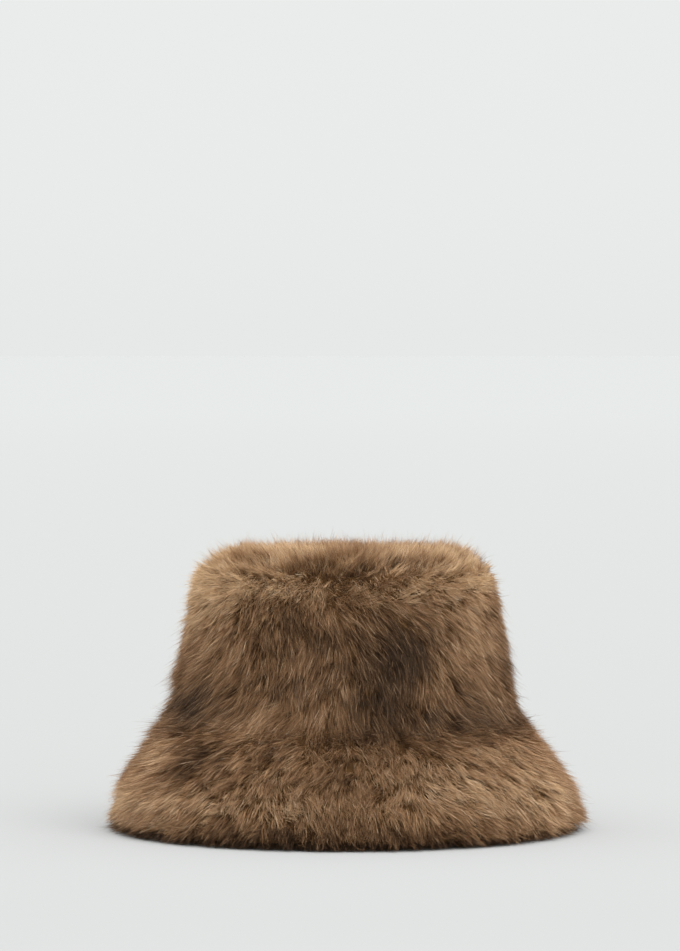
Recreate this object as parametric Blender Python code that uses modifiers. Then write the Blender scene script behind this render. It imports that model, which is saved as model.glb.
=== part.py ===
"""Fur bucket hat: a flat-topped crown and a flared brim, sewn from three panels of deep faux fur.

Each panel is a wall of knitted backing cloth with a coat of fur on its outer side. A coat is
a closed shell whose outside is laid in tiers of overlapping locks, combed outwards over the
top panel, and down over the crown and the brim.

Metres, +Z up, front towards -Y. The hat stands on the fur of its brim, on z = 0, and is
centred on Z. An outline is a list of radii and heights, read from the top down.
"""

import math
import random

import bmesh
import bpy

# Backing cloth
CLOTH = 0.002                # thickness of the knitted backing
CROWN_TOP_RADIUS = 0.0822    # outside of the backing at the seam round the top panel
CROWN_TOP_HEIGHT = 0.158
SEAM_RADIUS = 0.095          # outside of the backing at the seam of crown and brim
SEAM_HEIGHT = 0.070
OVAL = 1.03                  # length from front to back over width
CROWN_SIDES = 40             # flat sides of the cloth walls
BRIM_SIDES = 44
GAP = 0.0003                 # clearance between pieces that touch
FUR_SEAT = 0.0004            # clearance of a coat on its backing
LIP_SEAT = 0.0008            # the same inside the brim, where the cloth's flat sides stand in

CROWN_OUTLINE = (
    # radius, height
    (CROWN_TOP_RADIUS, CROWN_TOP_HEIGHT),
    (SEAM_RADIUS, SEAM_HEIGHT),
)
BRIM_OUTLINE = (
    # radius, height
    (SEAM_RADIUS, SEAM_HEIGHT - GAP),
    (0.1045, 0.0605),
    (0.1175, 0.0420),
    (0.1295, 0.0245),
    (0.1350, 0.0080),
)
TOP_OUTLINE = (
    # radius, height of the line that the fur of the top panel is measured from; it dips
    # under the cloth at the seam, where the fur is shortest
    (0.0010, 0.1627),
    (0.0550, 0.1627),
    (0.0670, 0.1616),
    (0.0790, 0.1535),
)

# Fur: the height of each part of a coat off its outline
GROOVE = 0.0075              # undercoat, where a tier starts under the tips of the one above
VALLEY = 0.0095              # between two locks
BELLY = 0.0124               # rounded middle of a lock
PILE = 0.0138                # tip of a lock

# Fur: the lengths of its locks along the outline
TOP_COMBED = 0.0800          # from the start of a coat to its last tips
CROWN_COMBED = 0.0860
BRIM_COMBED = 0.0835
TUCK = 0.004                 # how far a tier starts under the tips of the one above
NOTCH = 0.007                # how far the fur between two locks ends above their tips
LENGTH_SPREAD = 0.0032       # locks differ in length and in height by up to this much
HEIGHT_SPREAD = 0.0013
SWAY = 0.25                  # and sideways, as a share of the room for each lock
SMOOTHING = 0.005            # reach over which an outline's corners are rounded for the fur

TOP_LOCKS = (6, 12, 20, 30, 30)     # locks round each tier, first tier to last
CROWN_LOCKS = (36, 36, 36, 36, 36)
BRIM_LOCKS = (44, 44, 44, 44, 44)

WHORL = 0.002                # radius of the tuft in the middle of the top panel
TOP_SHOULDER = 0.0905        # the coats of two panels meet face to face out to these radii
CROWN_SHOULDER = 0.0915
BRIM_SHOULDER = 0.1085
SOLE_OUTER = 0.143           # the fur under the brim's edge is pressed flat between these radii
SOLE_INNER = 0.128
LIP_HEIGHT = 0.013           # fur turned up inside the brim's edge: its height and thickness
LIP = 0.005

SEED = 7
COLLECTION = "fur bucket hat"


def start_scene():
    """Removes every object and returns the hat's own collection."""
    for item in list(bpy.data.objects):
        bpy.data.objects.remove(item, do_unlink=True)
    collection = bpy.data.collections.new(COLLECTION)
    bpy.context.scene.collection.children.link(collection)
    return collection


def plain_material(name, colour, roughness):
    """A Principled material of one colour."""
    material = bpy.data.materials.new(name)
    material.use_nodes = True
    shader = material.node_tree.nodes["Principled BSDF"]
    shader.inputs["Base Color"].default_value = (*colour, 1.0)
    shader.inputs["Roughness"].default_value = roughness
    shader.inputs["Metallic"].default_value = 0.0
    return material


def add_piece(collection, name, mesh, material):
    """Puts a mesh into the hat's collection as the piece of that name, with the hat's oval."""
    mesh.materials.append(material)
    mesh.shade_smooth()
    piece = bpy.data.objects.new(name, mesh)
    piece.scale = (1.0, OVAL, 1.0)
    collection.objects.link(piece)
    return piece


def lengths(outline):
    """The length of each straight stretch of an outline."""
    return [math.dist(a, b) for a, b in zip(outline, outline[1:])]


def along_outline(outline, distance):
    """The point at a distance along an outline, which runs on straight past both its ends."""
    stretches = lengths(outline)
    stretch = 0
    while stretch < len(stretches) - 1 and distance > stretches[stretch]:
        distance -= stretches[stretch]
        stretch += 1
    (r0, z0), (r1, z1) = outline[stretch], outline[stretch + 1]
    share = distance / stretches[stretch]
    return r0 + (r1 - r0) * share, z0 + (z1 - z0) * share


def off_outline(outline, distance, height):
    """The point at a distance along an outline and a height off it, square to the fur's flow."""
    radius, z = along_outline(outline, distance)
    r0, z0 = along_outline(outline, distance - SMOOTHING)
    r1, z1 = along_outline(outline, distance + SMOOTHING)
    reach = math.hypot(r1 - r0, z1 - z0)
    return radius + height * (z0 - z1) / reach, z + height * (r1 - r0) / reach


def ring(columns, radius, z):
    """A level circle of points."""
    turns = (2 * math.pi * column / columns for column in range(columns))
    return [(radius * math.cos(turn), radius * math.sin(turn), z) for turn in turns]


def tier_rings(outline, columns, start, tip, locks, shift, draw):
    """Three rings of points for a tier of locks: the groove it starts in, its bellies, its tips.

    The crest is 1 along the middle of each lock and 0 in the valleys between two. The shift
    turns the tier by a share of a lock.
    """
    longer, higher, sideways = ([draw.uniform(-1, 1) for _ in range(locks)] for _ in range(3))
    groove, bellies, tips = [], [], []
    for column in range(columns):
        place = column * locks / columns + shift
        lock = round(place) % locks
        crest = 0.5 + 0.5 * math.cos(2 * math.pi * place)
        turn = 2 * math.pi * column / columns
        swayed = turn + crest * SWAY * sideways[lock] * 2 * math.pi / locks
        lift = crest * HEIGHT_SPREAD * higher[lock]
        end = tip - NOTCH * (1 - crest) + crest * LENGTH_SPREAD * longer[lock]
        for points, distance, height, bearing in (
            (groove, start, GROOVE, turn),
            (bellies, (start + tip) / 2, VALLEY + (BELLY - VALLEY) * crest + lift / 2, turn),
            (tips, end, VALLEY + (PILE - VALLEY) * crest + lift, swayed),
        ):
            radius, z = off_outline(outline, distance, height)
            points.append((radius * math.cos(bearing), radius * math.sin(bearing), z))
    return [groove, bellies, tips]


def coat_rings(outline, columns, combed, locks_in_tiers, draw):
    """The outside of a coat, from the bellies of its first tier to the tips of its last.

    The tiers are evenly spaced, each starts under the tips of the one above, and each is
    staggered by half a lock.
    """
    step = (combed - TUCK) / len(locks_in_tiers)
    rings = []
    for number, locks in enumerate(locks_in_tiers):
        start = number * step
        shift = 0.5 * (number % 2)
        rings += tier_rings(outline, columns, start, start + step + TUCK, locks, shift, draw)
    return rings[1:]


def lofted(name, rings, closed):
    """A mesh lofted through rings of equally many points.

    Closed, the last ring joins the first. Otherwise the first and last rings are filled by
    a fan to their middle.
    """
    shape = bmesh.new()
    loops = [[shape.verts.new(point) for point in points] for points in rings]
    following = loops[1:] + loops[:1] if closed else loops[1:]
    for upper, lower in zip(loops, following):
        for column in range(len(upper)):
            beside = (column + 1) % len(upper)
            shape.faces.new((upper[column], lower[column], lower[beside], upper[beside]))
    if not closed:
        for loop in (loops[0], loops[-1]):
            middle = shape.verts.new((0.0, 0.0, loop[0].co.z))
            for column, vertex in enumerate(loop):
                shape.faces.new((vertex, loop[(column + 1) % len(loop)], middle))
    bmesh.ops.recalc_face_normals(shape, faces=shape.faces)
    mesh = bpy.data.meshes.new(name)
    shape.to_mesh(mesh)
    shape.free()
    return mesh


def turned_wall(collection, name, outline, sides, material):
    """A wall of backing cloth: its outer outline turned round Z, then thickened inwards."""
    mesh = bpy.data.meshes.new(name)
    points = [(radius, 0.0, z) for radius, z in outline]
    mesh.from_pydata(points, [(index, index + 1) for index in range(len(points) - 1)], [])
    wall = add_piece(collection, name, mesh, material)
    turn = wall.modifiers.new("Turn", "SCREW")
    turn.steps = turn.render_steps = sides
    turn.use_merge_vertices = True
    turn.merge_threshold = 0.0001
    cloth = wall.modifiers.new("Cloth", "SOLIDIFY")
    cloth.thickness = CLOTH
    cloth.offset = -1.0
    cloth.use_even_offset = True
    return wall


def crown_top_backing(collection, material):
    """The flat disc of cloth of the top panel, level with the top edge of the crown's wall."""
    radius = CROWN_TOP_RADIUS - CLOTH - GAP
    shape = bmesh.new()
    bmesh.ops.create_cone(
        shape, cap_ends=True, segments=CROWN_SIDES, depth=CLOTH, radius1=radius, radius2=radius,
    )
    mesh = bpy.data.meshes.new("crown_top_backing")
    shape.to_mesh(mesh)
    shape.free()
    disc = add_piece(collection, "crown_top_backing", mesh, material)
    disc.data.set_sharp_from_angle(angle=math.radians(40))
    disc.location.z = CROWN_TOP_HEIGHT - CLOTH / 2
    return disc


def crown_top_fur(collection, material, draw):
    """The coat of the top panel: tufted above, rounded over the edge, and flat underneath."""
    columns = 2 * max(TOP_LOCKS)
    rings = [ring(columns, WHORL, off_outline(TOP_OUTLINE, 0.0, PILE)[1])]
    rings += coat_rings(TOP_OUTLINE, columns, TOP_COMBED, TOP_LOCKS, draw)
    rings.append(ring(columns, TOP_SHOULDER, CROWN_TOP_HEIGHT + GAP))
    return add_piece(collection, "crown_top_fur", lofted("crown_top_fur", rings, False), material)


def crown_side_fur(collection, material, draw):
    """The coat round the side of the crown, whose last tier hangs over the top of the brim."""
    columns = 2 * max(CROWN_LOCKS)
    end = sum(lengths(CROWN_OUTLINE))
    rings = [
        ring(columns, *off_outline(CROWN_OUTLINE, GAP, FUR_SEAT)),
        ring(columns, CROWN_SHOULDER, CROWN_TOP_HEIGHT - GAP),
    ]
    rings += coat_rings(CROWN_OUTLINE, columns, CROWN_COMBED, CROWN_LOCKS, draw)
    rings += [
        ring(columns, *off_outline(CROWN_OUTLINE, end - TUCK, GROOVE)),
        ring(columns, *off_outline(CROWN_OUTLINE, end - 2 * GAP, FUR_SEAT)),
    ]
    return add_piece(collection, "crown_side_fur", lofted("crown_side_fur", rings, True), material)


def brim_fur(collection, material, draw):
    """The coat of the brim. It is pressed flat under the brim's edge and turned up inside it."""
    columns = 2 * max(BRIM_LOCKS)
    edge_radius, edge_height = BRIM_OUTLINE[-1]
    under = edge_height - 3 * FUR_SEAT
    inside = edge_radius - CLOTH - LIP_SEAT
    inside_above = off_outline(BRIM_OUTLINE[::-1], LIP_HEIGHT - edge_height, CLOTH + LIP_SEAT)[0]
    rings = [
        ring(columns, *off_outline(BRIM_OUTLINE, 2 * GAP, FUR_SEAT)),
        ring(columns, BRIM_SHOULDER, SEAM_HEIGHT - 2 * GAP),
    ]
    rings += coat_rings(BRIM_OUTLINE, columns, BRIM_COMBED, BRIM_LOCKS, draw)
    rings += [
        ring(columns, SOLE_OUTER, 0.0),
        ring(columns, SOLE_INNER, 0.0),
        ring(columns, inside - LIP, LIP_HEIGHT / 2),
        ring(columns, inside_above - LIP / 2, LIP_HEIGHT),
        ring(columns, inside_above, LIP_HEIGHT),
        ring(columns, inside, under),
        ring(columns, edge_radius + FUR_SEAT, under),
    ]
    stretches = lengths(BRIM_OUTLINE)
    for corner in range(len(stretches), 0, -1):
        seat = off_outline(BRIM_OUTLINE, sum(stretches[:corner]), FUR_SEAT)
        rings.append(ring(columns, *seat))
    return add_piece(collection, "brim_fur", lofted("brim_fur", rings, True), material)


def centre_on_z(pieces, widest):
    """Moves the hat sideways so that the outline of its widest piece is centred on Z."""
    for axis in (0, 1):
        places = [vertex.co[axis] for vertex in widest.data.vertices]
        offset = (min(places) + max(places)) / 2 * widest.scale[axis]
        for piece in pieces:
            piece.location[axis] -= offset


def build():
    """Makes the three coats of fur and the three panels of cloth under them."""
    collection = start_scene()
    draw = random.Random(SEED)
    knit = plain_material("backing cloth", (0.115, 0.078, 0.050), 0.9)
    top_pile = plain_material("top panel fur", (0.270, 0.175, 0.100), 0.8)
    crown_pile = plain_material("crown fur", (0.230, 0.145, 0.083), 0.8)
    brim_pile = plain_material("brim fur", (0.250, 0.160, 0.092), 0.8)
    widest = brim_fur(collection, brim_pile, draw)
    pieces = [
        widest,
        crown_side_fur(collection, crown_pile, draw),
        crown_top_fur(collection, top_pile, draw),
        crown_top_backing(collection, knit),
        turned_wall(collection, "crown_side_backing", CROWN_OUTLINE, CROWN_SIDES, knit),
        turned_wall(collection, "brim_backing", BRIM_OUTLINE, BRIM_SIDES, knit),
    ]
    centre_on_z(pieces, widest)


build()
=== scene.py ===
"""Fur bucket hat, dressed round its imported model: knitted backing, underfur and long guard hair."""

import math

import bmesh
import bpy
import numpy as np
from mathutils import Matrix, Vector, noise
from mathutils.bvhtree import BVHTree


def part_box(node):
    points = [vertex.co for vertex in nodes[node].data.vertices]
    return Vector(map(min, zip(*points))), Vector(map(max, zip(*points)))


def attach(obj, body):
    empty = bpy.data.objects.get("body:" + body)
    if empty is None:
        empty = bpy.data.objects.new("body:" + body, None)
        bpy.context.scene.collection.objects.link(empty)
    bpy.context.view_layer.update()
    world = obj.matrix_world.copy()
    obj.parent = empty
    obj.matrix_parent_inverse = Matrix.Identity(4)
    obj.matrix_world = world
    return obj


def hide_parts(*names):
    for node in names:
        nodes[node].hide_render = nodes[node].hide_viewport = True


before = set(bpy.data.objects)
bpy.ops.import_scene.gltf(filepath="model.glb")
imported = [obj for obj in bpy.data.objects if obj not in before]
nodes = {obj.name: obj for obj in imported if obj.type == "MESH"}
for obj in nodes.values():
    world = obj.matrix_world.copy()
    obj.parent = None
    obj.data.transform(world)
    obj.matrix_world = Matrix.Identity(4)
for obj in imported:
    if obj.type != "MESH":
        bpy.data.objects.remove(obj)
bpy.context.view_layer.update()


# The hat is seen from the front and a little above, from about three metres away through a
# long lens, so that its outline is nearly flat-on. It stands 4 px right of the middle.
SIGHT_LENS = 195.3
SIGHT_PLACE = Vector((-0.0025, -3.200, 0.3100))
SIGHT_DOWN = math.radians(1.62)

sight = bpy.data.cameras.new("front_view")
sight.lens = SIGHT_LENS
sight.sensor_width = 36.0
sight.clip_end = 60.0
viewer = bpy.data.objects.new("front_view", sight)
viewer.location = SIGHT_PLACE
viewer.rotation_euler = (math.pi / 2 - SIGHT_DOWN, 0.0, 0.0)
bpy.context.scene.collection.objects.link(viewer)
bpy.context.scene.camera = viewer


# The studio is a pale matt table without an edge, under a white dome that is a little brighter
# overhead than round the sides. A very wide soft lamp adds to it from the front and above. The
# table's colour has painted light in it: it is paler round the hat, lifting the shade that the
# hat casts on it, and it grows paler again far off.
FLOOR_RADIUS = 60.0
FLOOR_REACH = 16.0
FLOOR_COLOURS_AND_PAINTED_LIGHT = (
    # distance from the hat as a share of the reach, brightness of red, green and blue
    (0.011, (0.472, 0.479, 0.477)),
    (0.030, (0.460, 0.467, 0.465)),
    (0.140, (0.466, 0.474, 0.471)),
    (1.000, (0.484, 0.496, 0.492)),
)
TENT_GLOW = (
    # height in the dome from horizon to zenith, brightness of red, green and blue
    (0.000, (0.791, 0.812, 0.804)),
    (0.025, (0.807, 0.829, 0.821)),
    (0.062, (0.823, 0.838, 0.832)),
    (0.500, (0.940, 0.950, 0.945)),
    (1.000, (1.250, 1.250, 1.240)),
)
LAMP_POWER = 2.4
LAMP_WIDTH = math.radians(75)
LAMP_TILT = math.radians(38)
LAMP_TURN = math.radians(18)


class Thread:
    """A socket that carries a value, on which Python's operators add Math nodes."""

    def __init__(self, dye, socket):
        self.dye = dye
        self.socket = socket

    def __add__(self, other):
        return self.dye.maths("ADD", self, other)

    def __radd__(self, other):
        return self.dye.maths("ADD", other, self)

    def __sub__(self, other):
        return self.dye.maths("SUBTRACT", self, other)

    def __rsub__(self, other):
        return self.dye.maths("SUBTRACT", other, self)

    def __mul__(self, other):
        return self.dye.maths("MULTIPLY", self, other)

    def __rmul__(self, other):
        return self.dye.maths("MULTIPLY", other, self)

    def __pow__(self, other):
        return self.dye.maths("POWER", self, other)

    def __rpow__(self, other):
        return self.dye.maths("POWER", other, self)


class Dye:
    """A material or a world in the making: its shader, and the nodes that feed it."""

    def __init__(self, owner, shader="Principled BSDF", **plain):
        owner.use_nodes = True
        self.owner = owner
        self.tree = owner.node_tree
        self.shader = self.tree.nodes[shader]
        for socket, value in plain.items():
            self.shader.inputs[socket.replace("_", " ")].default_value = value

    @classmethod
    def material(cls, name, **plain):
        return cls(bpy.data.materials.new(name), **plain)

    def node(self, kind, settings, inputs, output=0):
        """Adds a node. Its settings come first, then the values or threads of its sockets."""
        made = self.tree.nodes.new(kind)
        for name, value in settings.items():
            if name == "stops":
                for number, (place, colour) in enumerate(value):
                    ramp = made.color_ramp.elements
                    stop = ramp[number] if number < len(ramp) else ramp.new(place)
                    stop.position = place
                    stop.color = (*colour, 1.0)
            else:
                setattr(made, name, value)
        for socket, value in inputs.items():
            if isinstance(value, Thread):
                self.tree.links.new(value.socket, made.inputs[socket])
            else:
                made.inputs[socket].default_value = value
        return Thread(self, made.outputs[output])

    def place(self, output="Object"):
        return self.node("ShaderNodeTexCoord", {}, {}, output)

    def maths(self, operation, *values):
        return self.node("ShaderNodeMath", {"operation": operation}, dict(enumerate(values)))

    def noise(self, place, scale, detail):
        wanted = {"Vector": place, "Scale": scale, "Detail": detail}
        return self.node("ShaderNodeTexNoise", {}, wanted)

    def bump(self, height, strength, distance):
        wanted = {"Strength": strength, "Distance": distance, "Height": height}
        return self.node("ShaderNodeBump", {}, wanted)

    def ramp(self, value, stops):
        return self.node("ShaderNodeValToRGB", {"stops": stops}, {"Fac": value})

    def blend(self, factor, first, second, way="MIX"):
        """Mixes two colours, each a thread or three numbers."""
        sides = [side if isinstance(side, Thread) else (*side, 1.0) for side in (first, second)]
        settings = {"data_type": "RGBA", "blend_type": way}
        return self.node("ShaderNodeMix", settings, {0: factor, 6: sides[0], 7: sides[1]}, 2)

    def feed(self, **threads):
        """Joins threads to the shader's own sockets."""
        for socket, thread in threads.items():
            self.tree.links.new(thread.socket, self.shader.inputs[socket.replace("_", " ")])


bpy.context.scene.view_settings.view_transform = "Standard"
shape = bmesh.new()
bmesh.ops.create_circle(shape, cap_ends=True, segments=96, radius=FLOOR_RADIUS)
mesh = bpy.data.meshes.new("studio_floor")
shape.to_mesh(mesh)
shape.free()
floor = bpy.data.objects.new("studio_floor", mesh)
bpy.context.scene.collection.objects.link(floor)
# painted light: the table's colour is paler round the hat, lifting the shade the hat casts on it
table_top = Dye.material("table_top_with_painted_light", Roughness=1.0, Specular_IOR_Level=0.0)
settings = {"operation": "LENGTH"}
distance = table_top.node("ShaderNodeVectorMath", settings, {0: table_top.place()}, "Value")
share = table_top.maths("DIVIDE", distance, FLOOR_REACH)
table_top.feed(Base_Color=table_top.ramp(share, FLOOR_COLOURS_AND_PAINTED_LIGHT))
mesh.materials.append(table_top.owner)

tent = Dye(bpy.data.worlds.new("light_tent"), "Background")
height = tent.node("ShaderNodeSeparateXYZ", {}, {0: tent.place("Generated")}, "Z")
tent.feed(Color=tent.ramp(height, TENT_GLOW))
bpy.context.scene.world = tent.owner

lamp = bpy.data.lights.new("soft_lamp", "SUN")
lamp.energy = LAMP_POWER
lamp.angle = LAMP_WIDTH
lamp_stand = bpy.data.objects.new("soft_lamp", lamp)
lamp_stand.rotation_euler = (LAMP_TILT, 0.0, LAMP_TURN)
bpy.context.scene.collection.objects.link(lamp_stand)


# The three panels of backing cloth are a dense brown jersey knit, whose ribs of stitches run
# up and down the crown and the brim, and straight across the flat top. They are the packed
# solids as they are: only the knit is added, with painted shade darkening its valleys.
STITCH_WIDTH = 0.0013
STITCH_HEIGHT = 0.0010
STITCH_SLANT = 1.4
FUZZ_SCALE = 900.0
WEAR_SCALE = 28.0
KNIT_RELIEF = 0.0005
KNIT_DARK_AND_SHADE = (0.030, 0.019, 0.012)
KNIT_LIGHT = (0.120, 0.080, 0.052)


def knit(name, round_the_head):
    """Jersey: columns of V stitches in rows, with painted shade darkening the valleys between them,
    and a soft fuzz.
    """
    dye = Dye.material(name, Roughness=0.92, Sheen_Weight=0.25, Sheen_Roughness=0.6)
    place = dye.place()
    x, y, z = (dye.node("ShaderNodeSeparateXYZ", {}, {0: place}, axis) for axis in range(3))
    if round_the_head:
        ribs = round(2 * math.pi * round_the_head / STITCH_WIDTH)
        column = dye.maths("ARCTAN2", y, x) * (ribs / (2 * math.pi))
        row = z * (1 / STITCH_HEIGHT)
    else:
        column = x * (1 / STITCH_WIDTH)
        row = y * (1 / STITCH_HEIGHT)
    leg = dye.maths("ABSOLUTE", dye.maths("FRACT", column) - 0.5)
    stitch = dye.maths("SINE", (row + leg * STITCH_SLANT) * (2 * math.pi)) * 0.5 + 0.5
    rib = dye.maths("SINE", leg * (2 * math.pi))
    fuzz = dye.noise(place, FUZZ_SCALE, 3.0)
    relief_and_shade = stitch * 0.45 + rib * 0.35 + fuzz * 0.3
    wear = dye.noise(place, WEAR_SCALE, 4.0)
    # painted shade: the colour is darker where the knit's relief is low, in its valleys, and varies
    # with wear
    colour = dye.ramp(relief_and_shade * 0.8 + wear * 0.35 - 0.1, ((0.15, KNIT_DARK_AND_SHADE), (0.95, KNIT_LIGHT)))
    dye.feed(Base_Color=colour, Normal=dye.bump(relief_and_shade, 0.6, KNIT_RELIEF))
    return dye.owner


for node, radius in (
    ("crown_top_backing", None),
    ("crown_side_backing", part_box("crown_side_backing")[1].x),
    ("brim_backing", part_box("brim_backing")[1].x),
):
    cloth = nodes[node].data.materials
    cloth.clear()
    cloth.append(knit(node + "_knit", radius))


# The underfur is the short dense wool next to the cloth. It is too fine to see as hairs: it
# is a dark, uneven layer under the guard hair, which shuts off the cloth between the locks. Its
# dark colour is partly painted shade, standing for the shade deep in the fur between the locks.
UNDERFUR_THICKNESS = 0.0055
UNDERFUR_LUMPS = 0.0012
UNDERFUR_DARK = (0.046, 0.022, 0.009)
UNDERFUR_LIGHT = (0.130, 0.068, 0.026)
UNDERFUR_STATIONS = 14
UNDERFUR_SIDES = 72
LUMP_SCALE = 160
TUFT_SCALE = 260.0
TUFT_RELIEF = 0.002
TOP_SEAM_WOOL = 0.0012
CROWN_SEAM_WOOL = 0.0030
LIP_TOP = 0.0145
LIP_WOOL = (0.0022, 0.0022, 0.0018, 0.0003)
SAME_PLACE = 0.00015


class Panel:
    """The outer face of a panel of cloth, as radii and heights along the way its fur falls.

    Its places are those of a round hat on Z. on_hat gives them the hat's oval and its middle.
    """

    low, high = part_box("brim_backing")
    middle = np.array([(low.x + high.x) / 2, (low.y + high.y) / 2, 0.0])
    oval = np.array([1.0, (high.y - low.y) / (high.x - low.x), 1.0])

    def __init__(self, points, facing=1):
        self.radius, self.height = np.array(points, float).T
        self.facing = facing
        steps = np.hypot(np.diff(self.radius), np.diff(self.height))
        self.fall = np.concatenate([[0.0], np.cumsum(steps)])

    @property
    def length(self):
        return self.fall[-1]

    def seats(self, fall, turn):
        """Places at these distances down the panel and turns from the front, with the ways out
        of the cloth, down it and round it."""
        near = 0.004
        radius = np.interp(fall, self.fall, self.radius)
        height = np.interp(fall, self.fall, self.height)
        before, after = np.clip(fall - near, 0, self.length), np.clip(fall + near, 0, self.length)
        grow = np.interp(after, self.fall, self.radius) - np.interp(before, self.fall, self.radius)
        drop = np.interp(after, self.fall, self.height) - np.interp(before, self.fall, self.height)
        reach = np.hypot(grow, drop)
        grow, drop = grow / reach, drop / reach
        right, front = np.sin(turn), -np.cos(turn)
        place = np.stack([radius * right, radius * front, height], axis=-1)
        out = np.stack([-drop * right, -drop * front, grow], axis=-1) * self.facing
        down = np.stack([grow * right, grow * front, drop], axis=-1)
        along = np.stack([-front, right, np.zeros_like(turn)], axis=-1)
        return place, out, down, along

    @classmethod
    def on_hat(cls, places):
        return places * cls.oval + cls.middle

    @classmethod
    def off_hat(cls, places):
        return (places - cls.middle) / cls.oval


def wall_panel(node, stations, inside_up_to=None):
    """The panel that a wall of cloth makes, read on its right side at evenly spaced heights.

    It is the outside of the wall, or its inside up to some height.
    """
    tree = BVHTree.FromObject(nodes[node], bpy.context.evaluated_depsgraph_get())
    low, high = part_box(node)
    start, way = (0.0, 1.0) if inside_up_to else (1.0, -1.0)
    edge = 0.0006
    points = []
    for height in np.linspace((inside_up_to or high.z) - edge, low.z + edge, stations):
        hit = tree.ray_cast(Vector((start, Panel.middle[1], height)), Vector((way, 0.0, 0.0)))[0]
        points.append((hit.x - Panel.middle[0], height))
    return Panel(points, -1 if inside_up_to else 1)


crown_panel = wall_panel("crown_side_backing", 5)
brim_panel = wall_panel("brim_backing", 12)
lip_panel = wall_panel("brim_backing", len(LIP_WOOL), inside_up_to=LIP_TOP)
top_low, top_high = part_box("crown_top_backing")
top_panel = Panel([
    (0.0001, top_high.z),
    ((top_high.x - top_low.x) / 2, top_high.z),
    (crown_panel.radius[0], top_high.z),
])


def underfur(name, node, panel, seam, at_seam, lip=None):
    """A wool layer spun round Z off a panel, thinner at its seam, and made uneven.

    With a lip it goes on round the edge of the cloth and some way up its inside.
    """
    falls = np.linspace(0.0, panel.length, UNDERFUR_STATIONS)
    place, out, _, _ = panel.seats(falls, np.full(len(falls), math.pi / 2))
    layer = place + out * UNDERFUR_THICKNESS
    if seam is not None:
        layer[seam] = place[seam] + (at_seam, 0, at_seam)
    if lip:
        edge, inner = panel.radius[-1], lip.radius[-1]
        # radius and height, round the edge of the cloth from its outside to its inside
        turned = [
            (edge + 0.0046, 0, 0.0048),
            (edge + 0.0010, 0, 0.0034),
            (inner - 0.0008, 0, 0.0036),
        ]
        place, out, _, _ = lip.seats(lip.fall[::-1], np.full(len(lip.fall), math.pi / 2))
        layer = np.concatenate([layer, turned, place + out * np.array(LIP_WOOL)[:, None]])
    shape = bmesh.new()
    profile = [shape.verts.new(point) for point in layer]
    edges = [shape.edges.new(pair) for pair in zip(profile, profile[1:])]
    bmesh.ops.spin(
        shape, geom=profile + edges, axis=(0, 0, 1), cent=(0, 0, 0), steps=UNDERFUR_SIDES,
        angle=2 * math.pi, use_merge=True,
    )
    bmesh.ops.remove_doubles(shape, verts=shape.verts, dist=SAME_PLACE)
    bmesh.ops.recalc_face_normals(shape, faces=shape.faces)
    shape.normal_update()
    for vertex in shape.verts:
        vertex.co += vertex.normal * UNDERFUR_LUMPS * noise.noise(vertex.co * LUMP_SCALE)
        vertex.co = Panel.on_hat(np.array(vertex.co))
    mesh = bpy.data.meshes.new(name)
    shape.to_mesh(mesh)
    shape.free()
    mesh.shade_smooth()
    wool = bpy.data.objects.new(name, mesh)
    bpy.context.scene.collection.objects.link(wool)
    dye = Dye.material(name + "_wool", Roughness=1.0, Specular_IOR_Level=0.1)
    tufts = dye.noise(dye.place(), TUFT_SCALE, 6.0)
    # painted shade: the wool is darker in the hollows of its bumped tufts
    colour = dye.ramp(tufts, ((0.35, UNDERFUR_DARK), (0.75, UNDERFUR_LIGHT)))
    dye.feed(Base_Color=colour, Normal=dye.bump(tufts, 1.0, TUFT_RELIEF))
    mesh.materials.append(dye.owner)
    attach(wool, "root")
    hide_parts(node)


underfur("top_underfur", "crown_top_fur", top_panel, -1, TOP_SEAM_WOOL)
underfur("crown_underfur", "crown_side_fur", crown_panel, 0, CROWN_SEAM_WOOL)
underfur("brim_underfur", "brim_fur", brim_panel, None, 0, lip_panel)


# The hair stands in soft locks of fine wisps. Each lock grows from a small patch of cloth,
# stands well off it, leans the way the fur is brushed, and ends near the outside of the
# packed coat. The hairs of a wisp close towards its tip, and the wisps of a lock a little.
LOCK_ROOM = 0.0058
LOCK_SHIFT = 0.4
SWIRL_SCALES = (18, 55)
OWN_LEAN = 0.22
LOCK_RISES = (0.92, 1.06)
LOCK_RUNS = (0.9, 1.1)
BEND_RISE = 0.56
BEND_RUN = 0.34
FULL_RADIUS = 0.085
TONE = 0.55
BROAD_MOTTLE = 0.12
SMALL_MOTTLE = 0.14
COATS = ("crown_top_fur", "crown_side_fur", "brim_fur")

shape = bmesh.new()
for name in COATS:
    shape.from_mesh(nodes[name].data)
coat = BVHTree.FromBMesh(shape)
shape.free()
draw = np.random.default_rng(11)


def lock_seats(panel, start, end):
    """Distances down the panel and turns of locks in staggered, uneven tiers."""
    falls, turns = [], []
    tiers = max(1, round((end - start) / LOCK_ROOM))
    for tier in range(tiers):
        fall = start + (tier + 0.5) * (end - start) / tiers
        radius = np.interp(fall, panel.fall, panel.radius)
        count = max(3, round(2 * math.pi * radius / LOCK_ROOM))
        room = 2 * math.pi / count
        place = np.arange(count) + 0.5 * (tier % 2)
        turns.append((place + draw.uniform(-LOCK_SHIFT, LOCK_SHIFT, count)) * room)
        falls.append(fall + draw.uniform(-LOCK_SHIFT, LOCK_SHIFT, count) * LOCK_ROOM)
    return np.clip(np.concatenate(falls), 0, panel.length), np.concatenate(turns)


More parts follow.
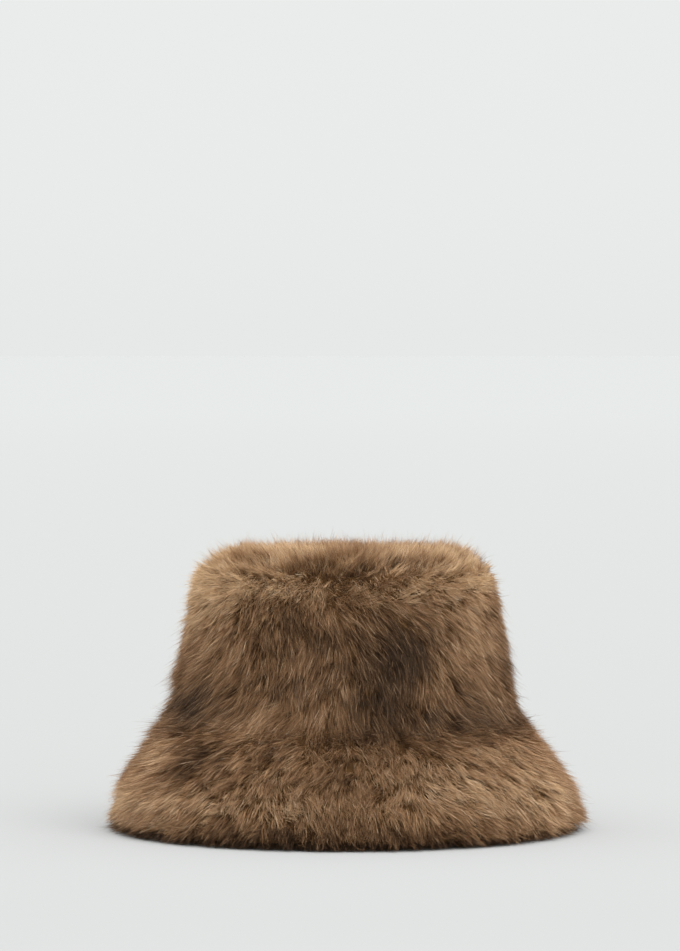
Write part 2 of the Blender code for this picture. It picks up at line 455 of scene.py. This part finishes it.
def brushed_locks(panel, start, end, brush, sway, tousle, mottle, hug, parted=None, paler=0):
    """The curve of each lock between two shares of a panel: its seat, bend and tip, and its ways.

    The brush gives the height of a tip off the cloth and its way along it, at shares of the
    panel, and parted gives them where the fur is parted. Sway turns the locks over broad
    patches, tousle moves each tip by itself, mottle makes single locks paler or darker, and hug
    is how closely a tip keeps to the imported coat.
    """
    fall, turn = lock_seats(panel, start * panel.length, end * panel.length)
    seat, out, down, along = panel.seats(fall, turn)
    broad, fine = SWIRL_SCALES
    lean = np.array([
        sway * (1.3 * noise.noise(Vector(place) * broad) + noise.noise(Vector(place) * fine))
        for place in seat
    ])
    lean = (lean + sway * draw.normal(0, OWN_LEAN, len(fall)))[:, None]
    way = down * np.cos(lean) + along * np.sin(lean)
    rise, run = brush_at(brush, fall / panel.length)
    if parted:
        open_by = np.clip(spots(seat, PARTINGS), 0, 1) * (draw.random(len(fall)) < PARTED_SHARE)
        parted_rise, parted_run = brush_at(parted, fall / panel.length)
        rise = rise + (parted_rise - rise) * open_by
        run = run + (parted_run - run) * open_by
    rise = (rise * draw.uniform(*LOCK_RISES, len(fall)))[:, None]
    run = (run * draw.uniform(*LOCK_RUNS, len(fall)))[:, None]
    side = np.cross(out, way)
    aside = draw.normal(0, tousle, (len(fall), 2))
    tip = seat + out * rise + way * (run + aside[:, :1]) + side * aside[:, 1:] * 0.7
    on_coat = np.array([coat.find_nearest(Vector(place))[0] for place in Panel.on_hat(tip)])
    tip += (Panel.off_hat(on_coat) - tip) * hug
    # fuller outwards, and less and less towards the middle of the top
    away = tip * (1, 1, 0) / FULL_RADIUS
    away *= np.minimum(1, np.linalg.norm(away, axis=1, keepdims=True)) ** 2
    away /= np.maximum(1, np.linalg.norm(away, axis=1, keepdims=True))
    tip += away * spots(tip, FULLNESS)[:, None]
    bend = seat + out * rise * BEND_RISE + way * run * BEND_RUN
    # paler also carries the hem's painted shade
    tone = tone_of(tip) + paler + draw.normal(0, mottle, len(fall))
    return {"seat": seat, "bend": bend, "tip": tip, "out": out, "way": way, "side": side,
            "tone": tone, "mottle": np.full(len(fall), mottle)}


def brush_at(brush, share):
    """How far tips stand off the cloth and lie along it, at these shares of a panel."""
    shares, rises, runs = zip(*brush)
    return np.interp(share, shares, rises), np.interp(share, shares, runs)


def spots(places, rows):
    """The sum of soft round spots on the hat, at these places."""
    turn = np.degrees(np.arctan2(places[:, 0], -places[:, 1]))
    total = np.zeros(len(places))
    for bearing, height, wide, tall, amount in rows:
        aside = (turn - bearing + 180) % 360 - 180
        total += amount * np.exp(-((aside / wide) ** 2 + ((places[:, 2] - height) / tall) ** 2))
    return total


def tone_of(tips):
    """How pale each lock is, from 0 for the darkest patches to 1 for the palest, painted shade and
    light included.
    """
    broad = np.array([noise.noise(Vector(tip) * 22 + Vector((3, 1, 4))) for tip in tips])
    small = np.array([noise.noise(Vector(tip) * 75) for tip in tips])
    return TONE + BROAD_MOTTLE * broad + SMALL_MOTTLE * small + spots(tips, PATCHES_AND_PAINTED_LIGHT)


# The coat is not even all round. It stands out further on the left side and lies flatter in
# places on the right, it is parted above the seam of the top at the front and the back, and it
# has darker and paler patches. Some patches are painted shade and light: darker along the
# parting, paler in the crease under it, darker along the seam of the crown and the brim on the
# right, and darker along the bottom edge. The front is as in the photograph, and the back is
# made up.
FULLNESS = (
    # bearing from the front in degrees, height, half-width in degrees, half-height, fuller by
    (-90, 0.120, 52, 0.060, 0.0034),
    (-90, 0.128, 30, 0.016, -0.0012),
    (-90, 0.164, 46, 0.010, 0.0016),
    (-90, 0.092, 30, 0.012, 0.0034),
    (-90, 0.068, 24, 0.009, 0.0044),
    (-90, 0.035, 40, 0.012, 0.0014),
    (-90, 0.013, 40, 0.008, -0.0020),
    (-86, 0.000, 14, 0.004, 0.0060),
    (90, 0.166, 46, 0.010, -0.0036),
    (90, 0.126, 30, 0.016, -0.0016),
    (90, 0.058, 20, 0.012, -0.0018),
    (90, 0.012, 26, 0.014, 0.0016),
)
PARTED_SHARE = 0.72
PARTINGS = (
    # bearing from the front in degrees, height, half-width in degrees, half-height, parted by
    (-32, 0.158, 9, 0.050, 0.9),
    (-6, 0.158, 14, 0.050, 1.0),
    (19, 0.158, 10, 0.050, 0.8),
    (150, 0.158, 14, 0.050, 0.9),
    (-160, 0.158, 12, 0.050, 0.9),
)
PATCHES_AND_PAINTED_LIGHT = (
    # bearing from the front in degrees, height, half-width in degrees, half-height, paler by
    (22, 0.114, 12, 0.018, -0.58),
    (13, 0.094, 15, 0.018, -0.38),
    (10, 0.074, 15, 0.016, -0.42),
    (-12, 0.124, 24, 0.026, -0.24),
    (-30, 0.098, 9, 0.014, -0.12),
    (-62, 0.075, 10, 0.012, -0.40),
    (-62, 0.078, 20, 0.019, -0.22),
    (-78, 0.073, 11, 0.006, -0.25),
    (-44, 0.052, 7, 0.007, -0.28),
    (-52, 0.039, 9, 0.011, -0.44),
    # painted shade along the seam of the crown and the brim on the right: the dark rows at heights
    # 0.066 and 0.067
    (42, 0.067, 16, 0.006, -0.37),
    (73, 0.067, 17, 0.0045, -0.41),
    (58, 0.053, 12, 0.006, 0.24),
    (29, 0.066, 15, 0.007, -0.26),
    (77, 0.095, 12, 0.012, -0.30),
    (44, 0.081, 12, 0.010, -0.42),
    (40, 0.137, 9, 0.010, -0.22),
    (-17, 0.086, 8, 0.009, -0.12),
    (-7, 0.096, 6, 0.011, -0.14),
    (45, 0.041, 8, 0.008, -0.16),
    (0, 0.048, 8, 0.008, -0.10),
    (-84, 0.136, 16, 0.028, 0.30),
    (-36, 0.155, 12, 0.008, 0.24),
    (34, 0.155, 14, 0.008, 0.20),
    (-34, 0.062, 8, 0.009, 0.30),
    (-67, 0.050, 11, 0.010, 0.32),
    (-12, 0.024, 10, 0.007, 0.20),
    (20, 0.025, 12, 0.008, 0.10),
    (-84, 0.016, 14, 0.010, 0.36),
    (54, 0.014, 10, 0.012, 0.22),
    (-64, 0.032, 9, 0.006, -0.04),
    (66, 0.025, 14, 0.016, 0.20),
    # painted shade: the dark rows at height 0.163 darken the parting above the seam of the top
    (-18, 0.163, 12, 0.006, -0.12),
    (10, 0.163, 16, 0.006, -0.18),
    # painted light: the pale rows at heights 0.148 to 0.153 lift the crease under the parting out of
    # its shade
    (0, 0.153, 40, 0.007, 0.18),
    (-31, 0.152, 14, 0.010, 0.31),
    (66, 0.158, 9, 0.014, 0.44),
    (8, 0.148, 22, 0.008, 0.16),
    (0, 0.179, 400, 0.007, 0.15),
    (-38, 0.173, 18, 0.008, 0.18),
    # painted shade along the parting
    (36, 0.162, 6, 0.004, -0.16),
    (-4, 0.035, 12, 0.013, -0.17),
    (-21, 0.058, 6, 0.009, -0.22),
    (-68, 0.162, 32, 0.021, 0.60),
    (50, 0.120, 18, 0.036, 0.15),
    (62, 0.164, 30, 0.016, 0.54),
    (-63, 0.130, 20, 0.022, 0.24),
    (-55, 0.020, 24, 0.016, 0.31),
    (44, 0.036, 34, 0.020, 0.29),
    (-15, 0.020, 18, 0.009, 0.18),
    # painted shade, with a darker tone: these four rows darken the bottom edge where it meets the
    # floor
    (-36, 0.001, 22, 0.0100, -0.46),
    (-70, -0.002, 16, 0.0075, -0.22),
    (0, 0.000, 28, 0.010, -0.46),
    (34, 0.000, 16, 0.006, -0.35),
    (150, 0.112, 18, 0.022, -0.44),
    (140, 0.084, 16, 0.018, -0.26),
    (-140, 0.062, 22, 0.018, -0.40),
    (-112, 0.040, 14, 0.010, -0.34),
    (-165, 0.130, 20, 0.024, 0.24),
    (-105, 0.120, 18, 0.026, 0.20),
    (112, 0.128, 20, 0.022, 0.22),
    (175, 0.030, 34, 0.018, 0.26),
    (118, 0.034, 20, 0.016, 0.22),
    # painted shade, with a darker tone, along the bottom edge at the back
    (165, 0.002, 60, 0.009, -0.45),
    (170, 0.172, 40, 0.008, -0.18),
)


# The hairs of a wisp spread at its foot and close towards its tip. Most of them follow it, and
# some fly off it. A few are pale and grey and a few dark, as in a real coat.
HAIR_STEPS = (0.14, 0.60, 1.0)
HAIR_WIDTH = 0.00026
HAIR_REACH = (0.46, 0.93, 1.08)
HAIR_WIDTHS = (0.6, 1.4)
HAIR_WANDER = 0.0011
HAIR_MOTTLE = 0.10
WISPS = 13
WISP_ROOM = 0.68
WISP_SPREAD = 0.0011
WISP_SWAY = 0.0016
WISP_MOTTLE = 1.4
GATHER = 0.08
STRAYS = 0.18
STRAY_WANDER = 0.0026
STRAY_LIMIT = 0.0044
STRAY_REACH = 0.08
STRAY_DARKER = 0.10
STRAY_WIDTH = 0.6
PALE_HAIRS = 0.115
PALE_KEEPS = 0.42
PALE_LIFT = 0.44
PLAIN_SHADES = 0.8
DARK_HAIRS = 0.08
DARK_HAIR_DARKER = 0.25
FLOOR_GAP = 0.0004


def hair_lines(locks, hairs):
    """Curved lines of hairs in the wisps of locks, with each one's ways and its tone."""
    count = len(locks["seat"])
    wisps = count * WISPS
    lock = np.repeat(np.arange(count), WISPS)
    way, side, out = (locks[key][lock] for key in ("way", "side", "out"))
    room = draw.uniform(-WISP_ROOM, WISP_ROOM, (wisps, 2)) * LOCK_ROOM
    room = way * room[:, :1] + side * room[:, 1:]
    swing = draw.normal(0, WISP_SWAY, (wisps, 3))
    swing = way * swing[:, :1] + side * swing[:, 1:2] + out * swing[:, 2:] * 0.7
    seat = locks["seat"][lock] + room
    bend = locks["bend"][lock] + room * (1 - GATHER / 2) + swing * 0.4
    tip = locks["tip"][lock] + room * (1 - GATHER) + swing
    tone = locks["tone"][lock] + draw.normal(0, WISP_MOTTLE, wisps) * locks["mottle"][lock]

    wisp = draw.integers(0, wisps, hairs)
    way, side, out = way[wisp], side[wisp], out[wisp]
    own = draw.normal(0, WISP_SPREAD, (hairs, 2))
    own = way * own[:, :1] + side * own[:, 1:]
    loose = draw.uniform(0.1, 1.0, (hairs, 1))
    stray = draw.random(hairs) < STRAYS
    flown = np.clip(draw.normal(0, STRAY_WANDER, (hairs, 3)), -STRAY_LIMIT, STRAY_LIMIT)
    flown = flown * stray[:, None] + draw.normal(0, HAIR_WANDER, (hairs, 3))
    reach = draw.triangular(*HAIR_REACH, hairs) + STRAY_REACH * stray
    t = (np.array(HAIR_STEPS)[None, :] * reach[:, None])[:, :, None]
    line = (1 - t) ** 2 * (seat[wisp] + own)[:, None]
    line += 2 * t * (1 - t) * (bend[wisp] + own * (0.5 + 0.5 * loose))[:, None]
    line += t ** 2 * (tip[wisp] + own * loose + flown)[:, None]
    tone = tone[wisp]
    kind = draw.random(hairs)
    pale = kind < PALE_HAIRS
    tone = np.where(pale, PALE_KEEPS * tone + PALE_LIFT, tone)
    tone = np.where(kind > 1 - DARK_HAIRS, tone - DARK_HAIR_DARKER, tone) - STRAY_DARKER * stray
    return line, side, out, tone, pale, stray


def hair_mesh(name, line, side, out, tone, pale, stray):
    """One mesh of flat hairs along the lines, pointed at both ends and widest at the bend."""
    total = len(line)
    line = Panel.on_hat(line)
    line[:, :, 2] = np.maximum(line[:, :, 2], FLOOR_GAP)
    twist = draw.uniform(-1.0, 1.0, total)[:, None]
    facing = out * np.cos(twist) + side * np.sin(twist)
    across = np.cross(facing, line[:, 2] - line[:, 0])
    across /= np.linalg.norm(across, axis=1, keepdims=True) + 1e-12
    width = HAIR_WIDTH * draw.uniform(*HAIR_WIDTHS, total)
    across *= (np.where(stray, width * STRAY_WIDTH, width) / 2)[:, None]
    bend = line[:, 1]
    points = np.stack([line[:, 0], bend + across, bend - across, line[:, 2]], axis=1)

    hair = np.arange(total)[:, None]
    corners = np.array([0, 1, 2, 2, 1, 3])
    mesh = bpy.data.meshes.new(name)
    mesh.vertices.add(total * 4)
    mesh.vertices.foreach_set("co", points.ravel())
    mesh.loops.add(total * 6)
    mesh.loops.foreach_set("vertex_index", (corners + 4 * hair).ravel())
    mesh.polygons.add(total * 2)
    mesh.polygons.foreach_set("loop_start", np.arange(total * 2) * 3)
    mesh.polygons.foreach_set("loop_total", np.full(total * 2, 3))
    mesh.update()
    mesh.shade_smooth()
    values = {
        "along": np.tile(np.array(HAIR_STEPS)[[0, 1, 1, 2]], total),
        # tone carries the patches, among them painted shade and light
        "tone": np.repeat(np.clip(tone + draw.normal(0, HAIR_MOTTLE, total), 0, 1), 4),
        "shade": np.repeat(np.where(pale, 1.0, PLAIN_SHADES * draw.random(total)), 4),
    }
    for value, numbers in values.items():
        mesh.attributes.new(value, "FLOAT", "POINT").data.foreach_set("value", numbers)
    cells = math.ceil(math.sqrt(total))
    across_cell = np.array([0.5, 0.9, 0.1, 0.5])[corners]
    up_cell = np.array([0.06, 0.5, 0.5, 0.94])[corners]
    places = np.stack([hair % cells + across_cell, hair // cells + up_cell], axis=2) / cells
    mesh.uv_layers.new(name="OFBake").data.foreach_set("uv", places.ravel())
    mesh.materials.append(fur_dye)
    return mesh


def coat_of_hair(name, node, hairs, *stretches):
    """A piece of fur: hairs shared out over stretches of locks by the number of their locks."""
    locks = {key: np.concatenate([stretch[key] for stretch in stretches]) for key in stretches[0]}
    mesh = hair_mesh(name, *hair_lines(locks, hairs))
    hair = bpy.data.objects.new(name, mesh)
    bpy.context.scene.collection.objects.link(hair)
    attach(hair, "root")
    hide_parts(node)


# A hair's colour runs from its root to its tip. The tips are paler partly as painted light, standing
# for the light that shines through them.
HAIR_ROOTS = (
    (0.0, (0.028, 0.013, 0.005)), (0.5, (0.135, 0.055, 0.011)), (1.0, (0.400, 0.218, 0.085)),
)
HAIR_TIPS_WITH_PAINTED_LIGHT = (
    (0.0, (0.073, 0.044, 0.025)), (0.35, (0.258, 0.144, 0.074)),
    (0.65, (0.527, 0.318, 0.172)), (1.0, (0.842, 0.628, 0.400)),
)
HAIR_SHADES = (
    (0.0, (0.71, 0.66, 0.60)), (PLAIN_SHADES, (1.03, 1.03, 1.03)), (1.0, (1.08, 1.17, 1.34)),
)
ROOT_REACH = 1.1
dye = Dye.material("guard_hair", Roughness=0.55, Specular_IOR_Level=0.15)
along, tone, shade = (
    dye.node("ShaderNodeAttribute", {"attribute_name": name}, {}, 2)
    for name in ("along", "tone", "shade")
)
# painted light: the colour grows paler towards the tip
grown_with_painted_light = dye.blend(along ** ROOT_REACH, dye.ramp(tone, HAIR_ROOTS), dye.ramp(tone, HAIR_TIPS_WITH_PAINTED_LIGHT))
dye.feed(Base_Color=dye.blend(1.0, grown_with_painted_light, dye.ramp(shade, HAIR_SHADES), "MULTIPLY"))
fur_dye = dye.owner


# The top panel's fur is brushed outwards from the middle. It stands nearly upright there, and
# leans out over the seam all round, where it parts from the fur of the crown's side.
TOP_BRUSH = (
    (0.0, 0.0200, 0.0040), (0.40, 0.0202, 0.0095), (0.65, 0.0205, 0.0105), (0.80, 0.0200, 0.0104),
    (0.88, 0.0180, 0.0100), (0.94, 0.0136, 0.0100), (0.975, 0.0092, 0.0098), (1.0, 0.0052, 0.0098),
)
TOP_SEAM_BRUSH = ((0.86, 0.0142, 0.0080), (0.93, 0.0108, 0.0074), (1.0, 0.0060, 0.0070))
TOP_RINGS = 4
TOP_RING_HAIRS = 24000
for ring in range(TOP_RINGS):
    start, end = (math.sqrt(edge / TOP_RINGS) for edge in (ring, ring + 1))
    stretches = [brushed_locks(
        top_panel, start, end, TOP_BRUSH, sway=1.0 + 0.3 * ring, tousle=0.0024 + 0.0006 * ring,
        mottle=0.05 + 0.045 * ring, hug=0.3,
    )]
    if end == 1:
        stretches.append(brushed_locks(
            top_panel, 0.86, 1.0, TOP_SEAM_BRUSH, sway=2.0, tousle=0.0042, mottle=0.16, hug=0.3,
        ))
    coat_of_hair(f"top_hair_{ring + 1}", "crown_top_fur", TOP_RING_HAIRS, *stretches)


# The side panel's fur is brushed down from the seam, where it stands up a little, and its
# last locks are longer and lie over the top of the brim.
CROWN_BRUSH = (
    (0.0, 0.0116, -0.0035), (0.03, 0.0122, 0.0), (0.06, 0.0128, 0.0040), (0.10, 0.0134, 0.0085),
    (0.15, 0.0140, 0.0120), (0.22, 0.0145, 0.0150), (0.5, 0.0143, 0.016), (0.8, 0.0145, 0.017),
    (1.0, 0.0180, 0.017),
)
CROWN_PARTED = (
    (0.0, 0.0092, 0.0060), (0.05, 0.0118, 0.0100), (0.12, 0.0136, 0.0135), (0.22, 0.0145, 0.0155),
    (0.5, 0.0143, 0.016), (0.8, 0.0145, 0.017), (1.0, 0.0180, 0.017),
)
CROWN_SEAM_BRUSH = (
    (0.0, 0.0100, 0.0010), (0.06, 0.0114, 0.0040), (0.12, 0.0126, 0.0080), (0.16, 0.0134, 0.0105),
)
for name, start, end, hairs in (
    ("crown_hair_upper", 0.0, 0.32, 68000),
    ("crown_hair_middle", 0.32, 0.66, 56000),
    ("crown_hair_lower", 0.66, 1.0, 56000),
):
    stretches = [brushed_locks(
        crown_panel, start, end, CROWN_BRUSH, sway=0.6, tousle=0.0020, mottle=0.065, hug=0.4,
        parted=CROWN_PARTED,
    )]
    if start == 0:
        stretches.append(brushed_locks(
            crown_panel, -0.04, 0.16, CROWN_SEAM_BRUSH, sway=1.5, tousle=0.0036, mottle=0.10,
            hug=0.3,
        ))
    coat_of_hair(name, "crown_side_fur", hairs, *stretches)


# The brim's fur is brushed down and out. Its last locks stand out over the edge, and the hair
# that wraps under the edge stands on the floor and is turned up inside the brim. That hair is
# dark, partly in tone and partly as painted shade where the edge meets the floor.
BRIM_BRUSH = (
    (0.0, 0.0125, 0.012), (0.2, 0.0145, 0.014), (0.7, 0.0140, 0.016), (0.9, 0.0138, 0.011),
    (1.0, 0.0135, 0.004),
)
HEM_BRUSH = ((0.88, 0.0105, 0.0120), (1.0, 0.0045, 0.0100))
UNDER_BRUSH = ((0.0, 0.0042, 0.0030), (1.0, 0.0042, 0.0070))
LIP_BRUSH = ((0.0, 0.0050, 0.0080), (1.0, 0.0035, 0.0080))
BRIM_HAIRS = 60000
HEM_HAIRS = 38000
# painted shade with a darker tone, for the hair round the bottom edge
HEM_TONE_AND_SHADE = -0.32
UNDER_HEIGHT = 0.0046
for name, start, end in (
    ("brim_hair_upper", 0.0, 0.36),
    ("brim_hair_middle", 0.36, 0.69),
    ("brim_hair_lower", 0.69, 1.0),
):
    locks = brushed_locks(
        brim_panel, start, end, BRIM_BRUSH, sway=0.7, tousle=0.0022, mottle=0.04, hug=0.5
    )
    coat_of_hair(name, "brim_fur", BRIM_HAIRS, locks)
under_panel = Panel([
    (lip_panel.radius[-1] - 0.0012, UNDER_HEIGHT),
    (brim_panel.radius[-1] + 0.0036, UNDER_HEIGHT),
], -1)
hem = [
    brushed_locks(panel, start, 1.0, brush, sway, tousle, mottle, hug=0.5, paler=HEM_TONE_AND_SHADE)
    for panel, start, brush, sway, tousle, mottle in (
        (brim_panel, 0.88, HEM_BRUSH, 0.6, 0.0016, 0.12),
        (lip_panel, 0.0, LIP_BRUSH, 0.5, 0.0012, 0.05),
        (under_panel, 0.0, UNDER_BRUSH, 0.5, 0.0012, 0.05),
    )
]
coat_of_hair("hem_hair", "brim_fur", HEM_HAIRS, *hem)
